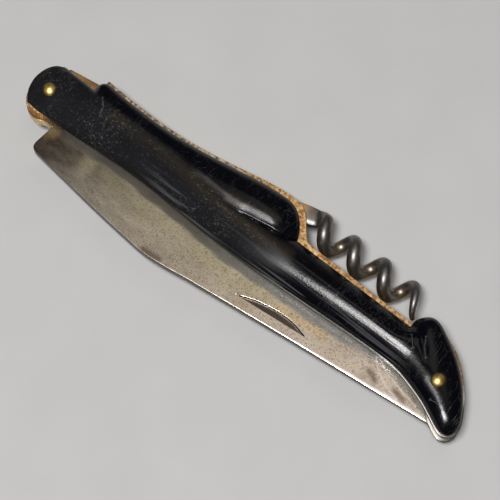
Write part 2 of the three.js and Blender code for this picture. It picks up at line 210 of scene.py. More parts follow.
# The lobe over the corkscrew's root: its lip, the handle's back under it, and the carved line
# between the leg and the heel
LOBE_LIP = (
    LOBE_START, (-18.5, 5.0), (-13, 2.2), (-7, 1.2), (-4.6, 1.25), (-1.7, 1.55), (0.5, 2.05),
    (2.8, 2.45), (5.1, 2.85), (7, 3.15), (9.1, 3.75), LOBE_END,
)
HIDDEN_BACK = (
    LOBE_END, (5.5, 4.95), (0.5, 4.85), (-4, 5.0), (-9, 5.8), (-14, 7.0), LOBE_START,
)
HEEL_GROOVE = ((39.7, 5.3), (42, 4.1), (44.5, 1.9), (46.5, -0.3))
LIP_WIDTH = 0.45
LIP_SHARE = 0.82
LOBE_BACK_WIDTH = 5.4
BLEND = 0.05

# Wear and painted light: the horn's brown ridges, a lobe band painted brown as sheen, the lobe's
# polished shoulder, scratches and painted glints on the horn, and the blade's stains and scratches
WORN_RIDGE = ((-34, 2.0), (-20, 2.2), (-12, 1.5), (-4.3, 0.8), (-1.4, 0.5), (4.6, 0.7), (12, 0.95))
# A band on the lobe painted brown as sheen: a painted reflection, not wear
LOBE_SHEEN_BAND = ((-13, 3.0), (-8, 3.0), (-3, 3.6), (3, 4.6), (6, 5.3))
LOBE_SHINE = ((-3.5, 2.3), (2.3, 3.4), (7.5, 5.0))
HORN_MARK_WIDTH = 0.09
# Pale lines: scratches, and along the heel's carved edge a painted highlight
HORN_SCRATCHES_AND_GLINTS = (
    ((-38.6, 4.2), (-36.9, 2.6), (-36.2, 0.6)),
    ((43.3, 4.2), (44.2, 2.6), (45.7, 0.9)),
    ((40.9, 2.9), (42.6, 0.9)),
    ((51.3, -5.0), (53.6, -4.9)),
)
BLADE_STAINS = (
    ((38.4, -6.6), (40.4, -7.6)),
    ((44.6, -6.9), (47.0, -7.2)),
    ((-12, -14.9), (-8, -14.6)),
)
BLADE_MARKS = (
    ((37.0, -2.6), (38.2, -4.2), (40.0, -5.8), (42.6, -7.2), (45.8, -8.0)),
    ((37.6, -3.0), (41.5, -5.0), (46.5, -6.3), (49.5, -6.7)),
)

# The camera, in the knife's own frame
CAMERA_PLACE = (71.85, -85.24, 285.98)
CAMERA_AIM = (4.54, -1.41, 5.9)
CAMERA_RIGHT = (0.7797, 0.6261, 0.0)
CAMERA_LENS = 108.0


# ---------------------------------------------------------------- curves and outlines


def smoothstep(low, high, value):
    """0 below the low value and 1 above the high one, with a smooth step between them."""
    share = np.clip((value - low) / (high - low), 0, 1)
    return share * share * (3 - 2 * share)


def spline(points, spacing):
    """Points along the smooth curve through some points, after its first one."""
    given = np.array(points, float)
    last = len(given) - 1
    found = []
    for i in range(last):
        before, start, end, after = given[max(i - 1, 0)], given[i], given[i + 1], given[min(i + 2, last)]
        leave, arrive = (end - before) / 2, (after - start) / 2
        count = max(1, math.ceil(np.linalg.norm(end - start) / spacing))
        for t in np.arange(1, count + 1) / count:
            cubic = 2 * start - 2 * end + leave + arrive
            square = -3 * start + 3 * end - 2 * leave - arrive
            found.append(cubic * t**3 + square * t**2 + leave * t + start)
    return np.array(found)


def outline(runs, spacing=0.3):
    """A closed loop of points from an outline's runs."""
    loop = np.array([runs[0][0]], float)
    for run in runs[1:]:
        loop = np.vstack([loop, spline([loop[-1], *run], spacing)])
    meets_itself = np.linalg.norm(loop[0] - loop[-1]) < 1e-6
    if meets_itself:
        return loop[:-1]
    gap = spline([loop[-1], loop[0]], spacing)
    return np.vstack([loop, gap[:-1]])


def hole(place, radius, count=28):
    """A round hole's loop, clockwise."""
    angle = -2 * np.pi * np.arange(count) / count
    return np.c_[place[0] + radius * np.cos(angle), place[1] + radius * np.sin(angle)]


def stretch(loop, start, end):
    """The part of a loop from the point nearest start to the point nearest end."""
    first = int(np.argmin(np.linalg.norm(loop - np.array(start), axis=1)))
    last = int(np.argmin(np.linalg.norm(loop - np.array(end), axis=1)))
    if last <= first:
        last += len(loop)
    return loop[np.arange(first, last + 1) % len(loop)]


def in_chunks(function, points, size=2000):
    """A function's results for all points, worked out for some at a time to save memory."""
    if len(points) == 0:
        return np.zeros(0)
    return np.concatenate([function(points[i:i + size]) for i in range(0, len(points), size)])


def distance(points, line):
    """How far points are from an open line."""
    start, along = line[:-1], line[1:] - line[:-1]
    squared = (along**2).sum(1)

    def nearest(some):
        apart = some[:, None] - start[None]
        share = np.clip((apart * along).sum(2) / squared, 0, 1)
        return np.sqrt(((apart - share[..., None] * along) ** 2).sum(2).min(1))

    return in_chunks(nearest, points)


def soft_distance(points, line, power=6):
    """The distance from an open line, rounded off where two parts of the line are equally near."""
    middle, length = (line[:-1] + line[1:]) / 2, np.linalg.norm(line[1:] - line[:-1], axis=1)
    whole = math.sqrt(math.pi) * math.gamma((power - 1) / 2) / math.gamma(power / 2)

    def averaged(some):
        apart = ((some[:, None] - middle[None]) ** 2).sum(2) + 1e-6
        return ((length * apart ** (-power / 2)).sum(1) / whole) ** (-1 / (power - 1))

    exact = distance(points, line)
    share = smoothstep(0.5, 1.6, exact)
    return exact * (1 - share) + in_chunks(averaged, points) * share


def inside(points, loop):
    """Whether points are inside a loop."""
    start, end = loop, np.roll(loop, -1, axis=0)
    rise = np.where(np.abs(end[:, 1] - start[:, 1]) < 1e-12, 1e-12, end[:, 1] - start[:, 1])

    def odd(some):
        crosses = (start[:, 1] > some[:, None, 1]) != (end[:, 1] > some[:, None, 1])
        at = start[:, 0] + (some[:, None, 1] - start[:, 1]) * (end[:, 0] - start[:, 0]) / rise
        return ((crosses & (some[:, None, 0] < at)).sum(1) % 2).astype(bool)

    return in_chunks(odd, points).astype(bool)


def closed(loop):
    """A loop as an open line that ends where it starts."""
    return np.vstack([loop, loop[:1]])


# ---------------------------------------------------------------- meshes


def moved_in(loop, depth):
    """A loop's points, each moved to the loop's left by a depth."""
    tangent = np.roll(loop, -1, axis=0) - np.roll(loop, 1, axis=0)
    return loop + depth * np.c_[-tangent[:, 1], tangent[:, 0]] / np.linalg.norm(tangent, axis=1)[:, None]


def points_within(loops, rings, step=None):
    """Rows of points that follow the loops, each deeper inside, and a triangular grid beyond."""
    edges = [closed(loop) for loop in loops]
    rows = []
    for loop in loops:
        for depth in rings:
            row = moved_in(loop, depth)
            apart = np.min([distance(row, edge) for edge in edges], axis=0)
            rows.append(row[(apart > 0.93 * depth) & inside(row, loops[0])])
    if step:
        low, high = loops[0].min(0), loops[0].max(0)
        across = np.arange(low[0], high[0], step)
        up = np.arange(low[1], high[1], step * 0.87)
        x, y = np.meshgrid(across, up)
        x = x + (np.arange(len(up)) % 2)[:, None] * step / 2
        grid = np.c_[x.ravel(), y.ravel()]
        grid = grid[inside(grid, loops[0])]
        apart = np.min([distance(grid, edge) for edge in edges], axis=0)
        rows.append(grid[apart > rings[-1] + 0.45 * step])
    return np.vstack(rows)


def with_rows(extra, lines, half_width):
    """Mesh points with a row along each line and one on each side of it."""
    rows = []
    for line in lines:
        row = np.vstack([line[:1], spline(line, 0.3)])
        rows += [row, moved_in(row, half_width)[1:-1], moved_in(row, -half_width)[1:-1]]
        extra = extra[distance(extra, row) > 2.2 * half_width]
    return np.vstack([extra, *rows])


def fill(loops, extra):
    """Points and triangles that fill the first loop less the others, through extra points."""
    points = np.vstack([*loops, extra])
    edges, first = [], 0
    for loop in loops:
        count = len(loop)
        edges += [(first + i, first + (i + 1) % count) for i in range(count)]
        first += count
    found = delaunay_2d_cdt([Vector(p) for p in points], edges, [], 1, 1e-7)
    order = [sources[0] for sources in found[3]]
    triangles = np.array([[order[v] for v in face] for face in found[2]])
    centres = points[triangles].mean(1)
    keep = np.ones(len(triangles), bool)
    for loop in loops[1:]:
        keep &= ~inside(centres, loop)
    return points, triangles[keep]


def slab(loops, extra, top, bottom):
    """A closed mesh between two surfaces over one outline with holes: its points and faces."""
    points, triangles = fill(loops, extra)
    count = len(points)
    upper = np.c_[points, top(points)]
    lower = np.c_[points, bottom(points)]
    faces = [tuple(t) for t in triangles] + [tuple(t[::-1] + count) for t in triangles]
    first = 0
    for loop in loops:
        for i in range(len(loop)):
            a, b = first + i, first + (i + 1) % len(loop)
            faces.append((a + count, b + count, b, a))
        first += len(loop)
    return np.vstack([upper, lower]), faces


def rounding(depth, radius):
    """How far a plate's rounded edge lies below its flat face, at a depth in from the outline."""
    share = np.clip(depth / radius, 0, 1)
    return radius * (1 - np.sqrt(1 - (1 - share) ** 2))


def plate(loops, bottom, thickness, edge):
    """A flat plate with rounded edges."""
    lines = [closed(loop) for loop in loops]

    def drop(points):
        return rounding(np.min([distance(points, line) for line in lines], axis=0), edge)

    rings = [edge * (1 - math.cos(math.radians(turn))) for turn in (25, 50, 70, 90)]
    return slab(
        loops,
        points_within(loops, rings),
        lambda points: bottom + thickness - drop(points),
        lambda points: bottom + drop(points),
    )


def make_piece(name, mesh_parts, material, body, node, sharp_deg=38, attributes=None):
    """A new piece from points in millimetres and faces, which stands for a CAD node."""
    points, faces = mesh_parts
    mesh = bpy.data.meshes.new(name)
    mesh.from_pydata([tuple(p) for p in to_row(points)], [], [list(map(int, f)) for f in faces])
    mesh.update()
    mesh.shade_smooth()
    mesh.set_sharp_from_angle(angle=math.radians(sharp_deg))
    for key, values in (attributes or {}).items():
        layer = mesh.attributes.new(key, "FLOAT", "POINT")
        layer.data.foreach_set("value", np.asarray(values, np.float32))
    mesh.materials.append(material)
    piece = bpy.data.objects.new(name, mesh)
    bpy.context.scene.collection.objects.link(piece)
    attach(piece, body)
    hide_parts(node)


def make_both_sides(piece_name, node_name, mesh_parts, material, sharp_deg, attributes):
    """A front piece of the handle and its mirror at the back, in place of two CAD nodes."""
    for side, parts in (("front", mesh_parts), ("back", mirrored(mesh_parts))):
        piece, node = f"{side}_{piece_name}", f"{side}_{node_name}"
        make_piece(piece, parts, material, "handle", node, sharp_deg, attributes)


def to_row(points):
    """Points in the knife's own frame and millimetres, in the row frame and metres."""
    return (np.asarray(points, float) + SHIFT) * MM


def mirrored(mesh_parts):
    """The same mesh on the other side of the knife's middle plane."""
    points, faces = mesh_parts
    turned = points * (1, 1, -1) + (0, 0, 2 * MIDDLE_Z)
    return turned, [tuple(reversed(face)) for face in faces]


# ---------------------------------------------------------------- the horn scales


def groove(points, line, depth, near_width, far_width):
    """A soft valley along a line. Its walls differ on the line's left and right sides."""
    line = np.array(line, float)
    curve = np.vstack([line[:1], spline(line, 0.25)])
    along = np.gradient(curve, axis=0)
    apart = points[:, None] - curve[None]
    nearest = (apart**2).sum(2).argmin(1)
    step = apart[np.arange(len(points)), nearest]
    side = along[nearest, 0] * step[:, 1] - along[nearest, 1] * step[:, 0]
    width = np.where(side > 0, near_width, far_width)
    share = nearest / (len(curve) - 1)
    deep = np.interp(share, np.linspace(0, 1, len(depth)), depth)
    return deep * np.exp(-((np.linalg.norm(step, axis=1) / width) ** 2))


class Horn:
    """The height of the horn scale's crown above its liner."""

    def __init__(self):
        loop = outline(SCALE_OUTLINE, 0.28)
        self.loop = loop
        self.low = stretch(loop, NOSE_LOW, TAIL_TIP)
        self.nose = stretch(loop, NOSE_HIGH, NOSE_LOW)
        tail_and_leg = stretch(loop, TAIL_TIP, LOBE_END)
        thigh = stretch(loop, LOBE_START, NOSE_HIGH)
        self.high = np.vstack([tail_and_leg, spline(HIDDEN_BACK, 0.28), thigh[1:]])
        self.body = np.vstack([self.low, self.high[1:], self.nose[1:-1]])
        self.lobe_back = stretch(loop, LOBE_END, LOBE_START)
        self.lip = np.vstack([LOBE_LIP[:1], spline(LOBE_LIP, 0.2)])
        self.lobe = np.vstack([self.lobe_back, self.lip[1:-1]])

    def height(self, points):
        """The crown's height at some points."""
        x = points[:, 0]
        crest = np.interp(x, CREST_X, CREST_Z) - HORN_WALL

        def rise(line, width, power=2.0, ledge=0.0):
            share = np.clip((soft_distance(points, line) - ledge) / width, 0, 1)
            return (1 - (1 - share) ** power) ** (1 / power)

        def side(line, table, ledge=0.0):
            places, widths, powers = np.array(table).T
            return rise(line, np.interp(x, places, widths), np.interp(x, places, powers), ledge)

        body = side(self.low, LOW_SIDE, RIM_LEDGE) * side(self.high, HIGH_SIDE)
        body *= rise(self.nose, NOSE_SIDE_WIDTH)
        body *= inside(points, self.body)
        lip = LIP_SHARE * rise(self.lip, LIP_WIDTH)
        lip += (1 - LIP_SHARE) * smoothstep(0.3, 2.8, distance(points, self.lip))
        lobe = lip * rise(self.lobe_back, LOBE_BACK_WIDTH, 1.5)
        lobe *= inside(points, self.lobe)
        blend = np.maximum(BLEND - np.abs(body - lobe), 0) / BLEND
        crown = crest * (np.maximum(body, lobe) + blend**2 * BLEND / 4)
        crown -= groove(points, HEEL_GROOVE, (0.5, 0.4, 0), 0.7, 0.35)
        return HORN_WALL + np.clip(crown, 0, None)


def horn_mesh(horn):
    """One scale, with closer points along its rim, beside the lobe's lip and on its scratches and
    painted glints.
    """
    pins = (BLADE_PIVOT, TAIL_PIN)
    holes = [hole(place, RIVET_RADIUS + HOLE_CLEARANCE) for place in pins]
    extra = points_within([horn.loop], (0.03, 0.12, 0.2, 0.32, 0.52, 0.8, 1.1, 1.5), 0.42)
    beside_lip = (-0.25, -0.1, -0.03, 0.05, 0.13, 0.22, 0.34, 0.48, 0.7)
    lip_rows = np.vstack([moved_in(horn.lip, depth)[1:-1] for depth in beside_lip])
    lip_rows = lip_rows[inside(lip_rows, horn.loop) & (distance(lip_rows, closed(horn.loop)) > 0.25)]
    extra = np.vstack([extra[distance(extra, horn.lip) > 0.8], lip_rows])
    extra = with_rows(extra, HORN_SCRATCHES_AND_GLINTS, HORN_MARK_WIDTH)
    far = np.min([np.linalg.norm(extra - np.array(place), axis=1) for place in pins], axis=0)
    return slab(
        [horn.loop, *holes],
        extra[far > RIVET_RADIUS + 0.3],
        lambda points: FRONT_SCALE_Z + horn.height(points),
        lambda points: np.full(len(points), FRONT_SCALE_Z),
    )


# ---------------------------------------------------------------- the blade


def blade_half_thickness(points):
    """Half of the blade's thickness: flat at the tang, then ground thinner towards its edge."""
    x, y = points[:, 0], points[:, 1]
    full = BLADE_THICKNESS / 2 - TIP_THINNING * smoothstep(10, 53, x)
    spine_y = np.interp(x, SPINE_X, SPINE_Y)
    ground = np.clip((y - spine_y) / (0.6 - spine_y), 0, 1) * (full - EDGE_THICKNESS / 2)
    ground *= 0.6 + 0.4 * smoothstep(-33, 0, x)
    plunge_x = -33.0 - 0.06 * (y + 8) ** 2
    return full - ground * smoothstep(-2.2, 2.4, x - plunge_x)


def blade_mesh():
    """The ground blade, with a bevel along its spine and a nail nick in its visible face."""
    loop = outline(BLADE_OUTLINE, 0.3)
    pivot = hole(BLADE_PIVOT, RIVET_RADIUS + HOLE_CLEARANCE)
    nick = outline(NAIL_NICK, 0.25)
    edge = closed(loop)
    spine = stretch(loop, SPINE_START, BLADE_TIP)
    nick_wall = stretch(nick, NAIL_NICK[0][0], NAIL_NICK[1][0])
    nick_arc = stretch(nick, NAIL_NICK[1][0], NAIL_NICK[0][0])

    def drop(points):
        width = np.interp(points[:, 0], BEVEL_X, BEVEL_WIDTH)
        share = np.clip(distance(points, spine) / width, 0, 1)
        bevel = BEVEL_SLOPE * width * (1 - share) ** 2
        return rounding(distance(points, edge), BLADE_EDGE) + bevel

    def nick_depth(points):
        wall, arc = distance(points, nick_wall), distance(points, nick_arc)
        cut = NICK_DEPTH * (0.7 * smoothstep(0, 0.3, arc) + 0.3 * arc / (arc + wall + 1e-6))
        cut *= smoothstep(0, 0.15, wall)
        return np.where(inside(points, nick), cut, 0)

    def half(points):
        return blade_half_thickness(points) - drop(points)

    extra = points_within([loop, pivot], (0.015, 0.05, 0.1, 0.25, 0.5, 0.8, 1.2), 0.5)
    outer = [moved_in(nick, -0.05), moved_in(nick, -0.16), moved_in(nick, -0.3)]
    clear = (distance(extra, closed(nick)) > 0.45) & ~inside(extra, nick)
    in_nick = points_within([nick], (0.05, 0.1, 0.15, 0.22, 0.3), 0.3)
    extra = np.vstack([extra[clear], nick, *outer, in_nick])
    extra = with_rows(extra, BLADE_MARKS, MARK_WIDTH)
    return slab(
        [loop, pivot],
        extra,
        lambda points: MIDDLE_Z + half(points) - nick_depth(points),
        lambda points: MIDDLE_Z - half(points),
    )


# ---------------------------------------------------------------- the corkscrew


def worm_point(turn):
    """The wire's middle line: out of the neck, then round and round towards the tip."""
    angle = 2 * math.pi * turn
    x = WORM_ZERO_X + WORM_PITCH * turn - WORM_LEAN * math.cos(angle)
    radius = WORM_RADIUS + WORM_TIP_FLARE * float(smoothstep(WORM_END_TURN - 0.4, WORM_END_TURN, turn))
    axis_y = WORM_AXIS_Y + WORM_AXIS_SLOPE * (x - WORM_ZERO_X)
    coil = np.array([x, axis_y + radius * math.cos(angle), MIDDLE_Z + radius * math.sin(angle)])
    along = (turn - WORM_START_TURN) / (WORM_JOINED_TURN - WORM_START_TURN)
    neck_xy = np.array(NECK_START) + (np.array(NECK_END) - np.array(NECK_START)) * along
    neck = np.array([*neck_xy, MIDDLE_Z])
    joined = float(smoothstep(0.2, 1.3, along))
    return neck * (1 - joined) + coil * joined


def worm_radius(turn):
    """The wire's radius: the neck's, then the coil's, then tapering to the tip's."""
    to_coil = float(smoothstep(WORM_START_TURN, WORM_JOINED_TURN, turn))
    to_tip = min(max((turn - WORM_END_TURN) / WORM_TAPER_TURNS + 1, 0), 1)
    full = NECK_RADIUS + (WIRE_RADIUS - NECK_RADIUS) * to_coil
    return full + (WORM_TIP_RADIUS - full) * to_tip


def worm_mesh(sides=24, steps=250):
    """A tube along the wire's middle line. Its section goes from square, at the neck, to round."""
    turns = np.linspace(WORM_START_TURN, WORM_END_TURN, steps + 1)
    centres = np.array([worm_point(t) for t in turns])
    tangents = np.gradient(centres, axis=0)
    tangents /= np.linalg.norm(tangents, axis=1)[:, None]
    up = np.array([0.0, 0.0, 1.0])
    normal = up - tangents[0] * tangents[0].dot(up)
    points = []
    for i, turn in enumerate(turns):
        normal = normal - tangents[i] * tangents[i].dot(normal)
        normal /= np.linalg.norm(normal)
        side = np.cross(tangents[i], normal)
        square = 1 - float(smoothstep(*NECK_ROUND_TURNS, turn))
        tall, wide = 1 - NECK_FLATTENED * square, 1 + NECK_WIDENED * square
        for k in range(sides):
            angle = 2 * math.pi * (k + 0.5) / sides
            cos, sin = math.cos(angle), math.sin(angle)
            power = 2 + 2.5 * square
            reach = (abs(cos) ** power + abs(sin) ** power) ** (-1 / power)
            reach *= worm_radius(turn)
            points.append(centres[i] + reach * (tall * cos * normal + wide * sin * side))
    faces = []
    for i in range(steps):
        for k in range(sides):
            a, b = i * sides + k, i * sides + (k + 1) % sides
            faces.append((a, a + sides, b + sides, b))
    tip = centres[-1] + tangents[-1] * WORM_TIP_RADIUS * 0.6
    points.append(tip)
    last = steps * sides
    faces += [(last + k, len(points) - 1, last + (k + 1) % sides) for k in range(sides)]
    faces.append(tuple(range(sides)))
    return np.array(points), faces


def joined_pair(first, second):
    """One closed mesh from two overlapping ones."""
    objects = []
    for points, faces in (first, second):
        mesh = bpy.data.meshes.new("joining")
        mesh.from_pydata([tuple(p) for p in points], [], [list(map(int, f)) for f in faces])
        editable = bmesh.new()
        editable.from_mesh(mesh)
        bmesh.ops.recalc_face_normals(editable, faces=editable.faces)
        editable.to_mesh(mesh)
        editable.free()
        objects.append(bpy.data.objects.new("joining", mesh))
        bpy.context.scene.collection.objects.link(objects[-1])
    modifier = objects[0].modifiers.new("union", "BOOLEAN")
    modifier.operation = "UNION"
    modifier.solver = "EXACT"
    modifier.object = objects[1]
    whole = objects[0].evaluated_get(bpy.context.evaluated_depsgraph_get()).to_mesh()
    points = np.array([v.co for v in whole.vertices])
    faces = [tuple(p.vertices) for p in whole.polygons]
    for item in objects:
        bpy.data.objects.remove(item)
    return points, faces


def corkscrew_mesh():
    """The flat tang and the worm as one forging."""
    loops = [outline(TANG_OUTLINE, 0.3), hole(CORKSCREW_PIVOT, HIDDEN_PIN_RADIUS + HOLE_CLEARANCE)]
    tang = plate(loops, MIDDLE_Z - TANG_THICKNESS / 2, TANG_THICKNESS, TANG_EDGE)
    return joined_pair(tang, worm_mesh())


# ---------------------------------------------------------------- pins


def turned(place, profile, segments=40):
    """A closed mesh turned about a vertical axis from (radius, z) pairs, which start and end on it."""
    points, faces = [], []
    rims = profile[1:-1]
    for radius, z in rims:
        for k in range(segments):
            angle = 2 * math.pi * k / segments
            points.append((place[0] + radius * math.cos(angle), place[1] + radius * math.sin(angle), z))
    for i in range(len(rims) - 1):
        for k in range(segments):
            a, b = i * segments + k, i * segments + (k + 1) % segments
            faces.append((a, b, b + segments, a + segments))
    low, high = len(points), len(points) + 1
    points += [(place[0], place[1], profile[0][1]), (place[0], place[1], profile[-1][1])]
    last = (len(rims) - 1) * segments
    for k in range(segments):
        after = (k + 1) % segments
        faces.append((low, after, k))
        faces.append((high, last + k, last + after))
    return np.array(points), faces


def rivet_mesh(place, seat):
    """A pin with a hammered dome on each end, seated on the horn at a height above the liner."""
    half = FRONT_SCALE_Z + seat - MIDDLE_Z - HEAD_SUNK
    dome = []
    for turn in np.linspace(0, 90, 10):
        angle = math.radians(turn)
        dome.append((HEAD_RADIUS * turn / 90, half + HEAD_RISE * math.cos(angle)))
    dome.append((HEAD_RADIUS * 0.93, half - 0.06))
    dome.append((RIVET_RADIUS, half - 0.08))
    upper = [(r, MIDDLE_Z + z) for r, z in reversed(dome)]
    lower = [(r, MIDDLE_Z - z) for r, z in dome]
    return turned(place, lower + upper)


def hidden_pin_mesh(place):
    """A short pin with chamfered ends, flush with the liners' outer faces."""
    half = FRONT_LINER_Z + LINER_THICKNESS - MIDDLE_Z
    low, high = MIDDLE_Z - half, MIDDLE_Z + half
    rim, (inward, along) = HIDDEN_PIN_RADIUS, HIDDEN_PIN_CHAMFER
    lower = [(0, low), (rim - inward, low), (rim, low + along)]
    upper = [(rim, high - along), (rim - inward, high), (0, high)]
    return turned(place, lower + upper)


# ---------------------------------------------------------------- where the surfaces change


def near(points, lines, width):
    """1 on some lines, falling to 0 at a width from them."""
    apart = np.min([distance(points, np.array(line, float)) for line in lines], axis=0)
    return np.clip(1 - apart / width, 0, 1)


def on_wall(points, loop):
    """1 on a plate's upright outer wall and 0 on its faces."""
    return (distance(points[:, :2], closed(loop)) < 0.02).astype(float)


def horn_zones(horn, points):
    """Where the horn is worn brown, painted with a brown sheen, rippled by filing, dulled by the hand,
    scratched, and painted with glints.
    """
    flat = points[:, :2]
    # Brown on the worn ridges, and on the lobe's band a painted brown sheen
    worn_and_sheen = near(flat, [WORN_RIDGE], 2.0) + 0.8 * near(flat, [LOBE_SHEEN_BAND], 1.2)
    x = flat[:, 0]
    filed = near(flat, [horn.low], 4.0) * smoothstep(-26, -12, x) * (1 - smoothstep(38, 46, x))
    behind_ridge = flat[:, 1] - np.interp(x, *np.array(WORN_RIDGE).T)
    thigh = (1 - smoothstep(0, 18, x)) * (1 - smoothstep(0.8, 2.8, behind_ridge))
    return {
        "worn_and_sheen": np.clip(worn_and_sheen, 0, 1),
        "filed": filed,
        "thigh": thigh * (1 - near(flat, [LOBE_SHINE], 1.8) ** 0.5),
        "mark": 0.5 * near(flat, HORN_SCRATCHES_AND_GLINTS, HORN_MARK_WIDTH),
    }


def liner_zones(points, loop):
    """Where a brass liner is orange, grimy and painted in shade along the blade's side, painted with a
    pale highlight on its edge towards the tail, and painted in shade on its upright wall on the blade's
    side.
    """
    x, y = points[:, 0], points[:, 1]
    back = smoothstep(-1.0, 2.0, y - np.interp(x, (-54, -30, 10, 40, 60), (1.0, 2.5, 1.5, 2.0, 0.0)))
    tail = smoothstep(44, 50, x)
    nose = 1 - smoothstep(-47, -44, x)
    blade_side = (1 - back) * (1 - nose)
    # The liner's edge towards the tail on the blade's side, painted pale as a highlight
    highlit_edge = smoothstep(10, 38, x) * (1 - smoothstep(55.8, 57.5, x)) * blade_side
    return {
        "gold": np.clip(back * (1 - 0.65 * tail) + 0.8 * nose, 0, 1),
        "pale": highlit_edge,
        "dull": (1 - smoothstep(-12, 2, x)) * back,
        # The upright wall on the blade's side, painted near black as shade
        "wall": on_wall(points, loop) * blade_side * (1 - smoothstep(53.5, 55, x)),
    }


def blade_zones(horn, points, loop):
    """Where the blade is brown, olive or pinkish, stained and scratched, and where light is painted: a
    golden glow, the handle's dark reflection, and shade in the nail nick and on the spine's wall.
    """
    flat = points[:, :2]
    x, y = flat.T
    root = 1 - smoothstep(-42, -24, x - 0.6 * (y + 8))
    spine_y = np.interp(x, SPINE_X, SPINE_Y)
    to_spine = np.clip((-4.0 - y) / (-4.0 - spine_y), 0, 1)
    tip = np.clip(smoothstep(8, 34, x) + 0.6 * smoothstep(0.35, 0.9, to_spine), 0, 1)
    # A band beside the handle painted grey: a painted reflection of the dark handle
    by_handle = distance(flat, horn.low) - 0.15 * np.sin(0.9 * x) - 0.2 * np.sin(0.31 * x + 1)
    reach = np.interp(x, (31, 39), (1.0, 0.25))
    handle_reflection = (1 - smoothstep(1.5 * reach, 2.1 * reach, by_handle)) * smoothstep(-45, -38, x)
    # A golden glow painted on the tang by the nose and on a patch of the face: painted reflection
    gold = near(flat, [((-51, -5.6), (-48, -6.3), (-43.6, -6.9))], 2.4) ** 0.7
    nick = outline(NAIL_NICK, 0.25)
    # Inside the nail nick, where painted shade darkens the recess
    depth = np.where(inside(flat, nick), distance(flat, closed(nick)), 0)
    return {
        "root": root,
        "tip": tip,
        "handle_reflection": 0.9 * handle_reflection,
        "handle_reflection_darkness": 1 - smoothstep(-14, 22, x),
        "gold": np.clip(gold + 0.4 * near(flat, [((17, -7.4), (27, -6.7))], 1.6), 0, 1),
        "nick": smoothstep(0.04, 0.16, depth),
        "stain": 0.75 * near(flat, BLADE_STAINS, 1.0),
        "mark": 0.9 * near(flat, BLADE_MARKS, 0.13),
        # The spine's upright wall, painted dark as shade
        "wall": on_wall(points, loop) * smoothstep(-46, -43, x),
    }


def corkscrew_zones(points):
    """Where the corkscrew is golden: by the handle, and on the underside of its coils."""
    x, z = points[:, 0], points[:, 2]
    return {
        "root": 0.8 * (1 - smoothstep(7.2, 9.6, x)),
        "low": 0.7 * ((1 - smoothstep(3.6, 6.0, z)) * smoothstep(11, 14, x)),
    }


def rivet_zones(points, place):
    """Where a rivet's head is painted darker towards its rim, as a dark reflection."""
    from_middle = np.linalg.norm(points[:, :2] - np.array(place), axis=1)
    return {"rim": smoothstep(0.85, 1.45, from_middle)}


# ---------------------------------------------------------------- materials


class Paint:
    """A material and short ways to add nodes to it."""

    def __init__(self, name):
        self.material = bpy.data.materials.new(name)
        self.material.use_nodes = True
        self.tree = self.material.node_tree
        self.shader = self.tree.nodes["Principled BSDF"]
        self.place = self.add("ShaderNodeTexCoord").outputs["Object"]

    def add(self, kind, inputs=None, **settings):
        made = self.tree.nodes.new(kind)
        for key, value in settings.items():
            setattr(made, key, value)
        for key, value in (inputs or {}).items():
            self.set(made.inputs[key], value)
        return made

    def set(self, socket, value):
        if isinstance(value, bpy.types.NodeSocket):
            self.tree.links.new(value, socket)
        else:
            socket.default_value = value

    def noise(self, scale, detail=4.0, roughness=0.55, stretch_by=(1, 1, 1), turn=0.0, shift=0.0):
        where = self.add("ShaderNodeMapping", {
            "Vector": self.place,
            "Scale": stretch_by,
            "Rotation": (0, 0, turn),
            "Location": (shift, shift, 0),
        })
        made = self.add("ShaderNodeTexNoise", {
            "Vector": where.outputs[0], "Scale": scale, "Detail": detail, "Roughness": roughness,
        })
        return made.outputs["Fac"]

    def ramp(self, value, low, high, start=0.0, end=1.0):
        made = self.add("ShaderNodeMapRange", {
            "Value": value, "From Min": low, "From Max": high, "To Min": start, "To Max": end,
        })
        made.clamp = True
        return made.outputs[0]

    def attribute(self, name):
        """A number between 0 and 1 that the mesh carries at each of its points."""
        return self.add("ShaderNodeAttribute", attribute_name=name).outputs["Fac"]

    def math(self, operation, a, b=0.0):
        made = self.add("ShaderNodeMath", {0: a, 1: b}, operation=operation)
        return made.outputs[0]

    def mix(self, share, a, b):
        made = self.add("ShaderNodeMix", data_type="RGBA")
        self.set(made.inputs[0], share)
        self.set(made.inputs[6], a)
        self.set(made.inputs[7], b)
        return made.outputs[2]

    def scratches(self, scale, along, turn, low, high, shift=0.0):
        """Thin lines: the narrow band in which a stretched noise passes its middle."""
        value = self.noise(scale, 2.0, 0.5, (1, along, 1), turn, shift)
        off = self.math("ABSOLUTE", self.math("SUBTRACT", value, 0.5))
        return self.ramp(off, low, high, 1.0, 0.0)

    def bump(self, height, strength, distance_mm, under=None):
        inputs = {"Height": height, "Strength": strength, "Distance": distance_mm * MM}
        if under is not None:
            inputs["Normal"] = under
        return self.add("ShaderNodeBump", inputs).outputs[0]

    def finish(self, color, roughness, metallic, normal, **others):
        self.set(self.shader.inputs["Base Color"], color)
        self.set(self.shader.inputs["Roughness"], roughness)
        self.set(self.shader.inputs["Metallic"], metallic)
        if normal is not None:
            self.set(self.shader.inputs["Normal"], normal)
        for key, value in others.items():
            self.set(self.shader.inputs[key], value)
        return self.material


